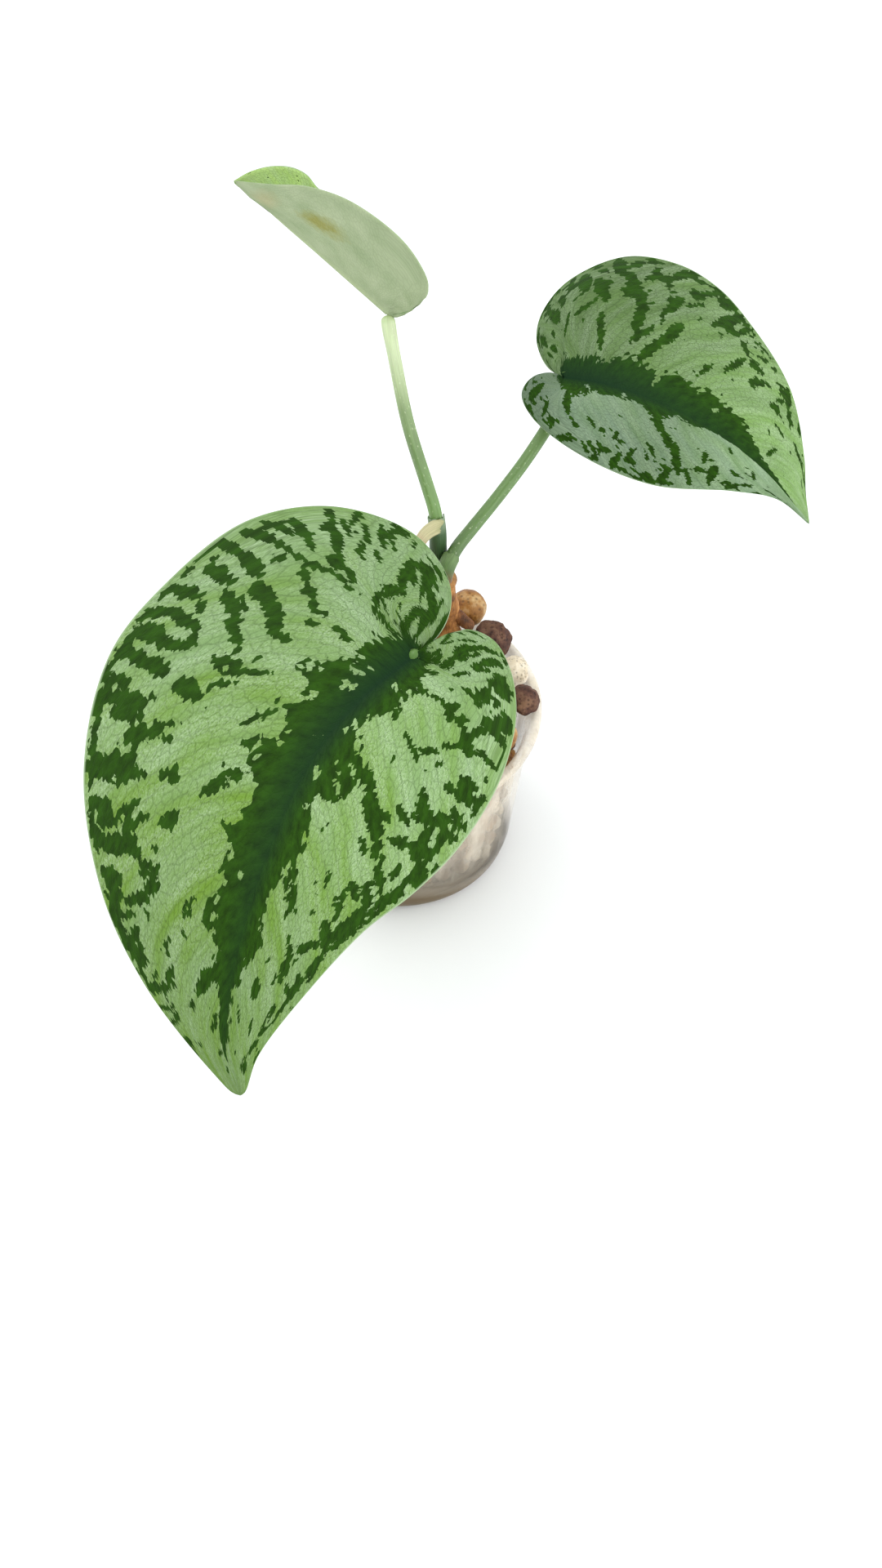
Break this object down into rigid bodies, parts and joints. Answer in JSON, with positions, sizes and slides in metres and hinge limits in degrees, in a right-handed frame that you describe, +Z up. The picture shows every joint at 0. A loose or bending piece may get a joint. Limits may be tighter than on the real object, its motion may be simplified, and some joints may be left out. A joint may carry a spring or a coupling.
{
  "type": "satin pothos",
  "caption": "Young satin pothos with silver-mottled heart-shaped leaves on slender stalks, in a small clear cup of coarse mineral mix.",
  "frame": {"origin": "middle of the pot's underside, on the surface that the pot stands on", "axes": "+Z up, the largest leaf reaches towards -Y, the tip of the right leaf points towards +X"},
  "size_m": [0.1223, 0.1574, 0.1145],
  "materials": {
    "clear_plastic": "gloss",
    "mix": "matte",
    "fired_clay": "matte",
    "lava": "matte",
    "pumice": "matte",
    "bark": "matte",
    "root": "matte",
    "petiole": "satin",
    "sheath": "satin",
    "dry_bract": "matte",
    "blade": "satin"
  },
  "bodies": {
    "root": {"aerial_root": "bark", "blade_front": "blade", "blade_left": "blade", "blade_right": "blade", "clay_ball_01": "fired_clay", "clay_ball_02": "fired_clay", "clay_ball_03": "fired_clay", "clay_ball_04": "fired_clay", "clay_ball_05": "fired_clay", "clay_ball_06": "fired_clay", "clay_ball_07": "fired_clay", "clay_ball_08": "fired_clay", "clay_ball_09": "fired_clay", "clay_ball_10": "fired_clay", "clay_ball_11": "fired_clay", "clay_ball_12": "fired_clay", "clay_ball_13": "fired_clay", "dry_bract": "dry_bract", "lava_stone_01": "lava", "lava_stone_02": "lava", "lava_stone_03": "lava", "lava_stone_04": "lava", "lava_stone_05": "lava", "lava_stone_06": "lava", "mix_bed": "mix", "petiole_front": "petiole", "petiole_left": "petiole", "petiole_right": "petiole", "pot": "clear_plastic", "pumice_stone_01": "pumice", "pumice_stone_02": "pumice", "pumice_stone_03": "pumice", "pumice_stone_04": "pumice", "pumice_stone_05": "pumice", "pumice_stone_06": "pumice", "pumice_stone_07": "pumice", "pumice_stone_08": "pumice", "pumice_stone_09": "pumice", "pumice_stone_10": "pumice", "pumice_stone_11": "pumice", "roots": "root", "sheath_front": "sheath", "sheath_left": "sheath", "sheath_right": "sheath", "stem": "bark"}
  },
  "joints": []
}
